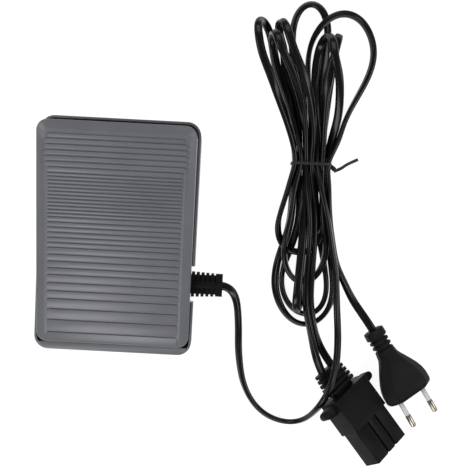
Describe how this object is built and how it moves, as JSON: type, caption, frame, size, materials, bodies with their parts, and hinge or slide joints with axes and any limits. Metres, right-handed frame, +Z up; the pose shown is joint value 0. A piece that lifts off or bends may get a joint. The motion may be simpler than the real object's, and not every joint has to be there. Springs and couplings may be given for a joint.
{
  "type": "sewing machine foot pedal",
  "caption": "Foot speed control of a sewing machine: ribbed grey tread hinged in a tray, on two flat black leads tied in a hank, with a machine connector and a mains plug.",
  "frame": {"origin": "on the ground under the middle of the tray", "axes": "+X to the side that the lead leaves, +Y from the heel to the toe, +Z up"},
  "size_m": [0.2724, 0.3076, 0.0586],
  "materials": {
    "grey_plastic": "moulded, satin",
    "black_rubber": "matt",
    "steel": "zinc plated",
    "board": "paper laminate",
    "black_plastic": "moulded",
    "white_plastic": "moulded",
    "yellow_plastic": "moulded",
    "green_plastic": "moulded",
    "ceramic_track": "printed track on a ceramic strip",
    "ferrite": "sintered",
    "copper": "enamelled wire",
    "tan_lacquer": "lacquered",
    "aluminium": "extruded",
    "brass": "stamped",
    "nickel": "nickel plated",
    "cord_black": "soft PVC, satin",
    "tie_black": "plastic-coated wire",
    "brown_wire": "PVC",
    "blue_wire": "PVC"
  },
  "bodies": {
    "base": {"base_tray": "grey_plastic", "rubber_feet": "black_rubber", "stop_pads": "black_rubber", "hinge_axle": "steel", "axle_clips": "steel", "return_springs": "steel", "plunger_spring": "steel", "board_screws": "steel", "triac_screw": "steel", "terminal_screws": "steel", "clamp_screws": "steel", "circuit_board": "board", "control_guide": "black_plastic", "resistor_track": "ceramic_track", "heat_sink": "aluminium", "triac": "black_plastic", "suppressor_capacitor": "yellow_plastic", "choke_core": "ferrite", "choke_winding": "copper", "gate_resistors": "tan_lacquer", "terminal_block": "green_plastic", "strain_relief": "cord_black", "lead_end": "cord_black", "live_wire": "brown_wire", "neutral_wire": "blue_wire", "cord_clamp": "black_plastic", "pedal_lead": "cord_black", "cord_hank": "cord_black", "hank_tie": "tie_black", "connector_lead_in": "cord_black", "connector_lead_out": "cord_black", "plug_lead": "cord_black", "connector_body": "cord_black", "connector_block": "black_plastic", "connector_contacts": "brass", "plug_body": "cord_black", "plug_pins": "nickel", "pin_sleeves": "white_plastic"},
    "tread_body": {"tread": "grey_plastic"},
    "plunger_body": {"control_plunger": "white_plastic", "wiper_contact": "brass"}
  },
  "joints": [
    {"name": "tread_hinge", "type": "hinge", "parent": "base", "child": "tread_body", "pos_m": [0, -0.0615, 0.013], "axis": [-1, 0, 0], "range_deg": [0, 5.5], "stiffness_Nm_per_rad": 8, "springref_deg": -3.44, "deforming": ["return_springs"]},
    {"name": "plunger_slide", "type": "slide", "parent": "base", "child": "plunger_body", "axis": [0, 0, -1], "range_m": [0, 0.0051], "deforming": ["plunger_spring"]}
  ],
  "couplings": [
    {"joint": "plunger_slide", "follows": "tread_hinge", "m_per_rad": 0.053}
  ]
}
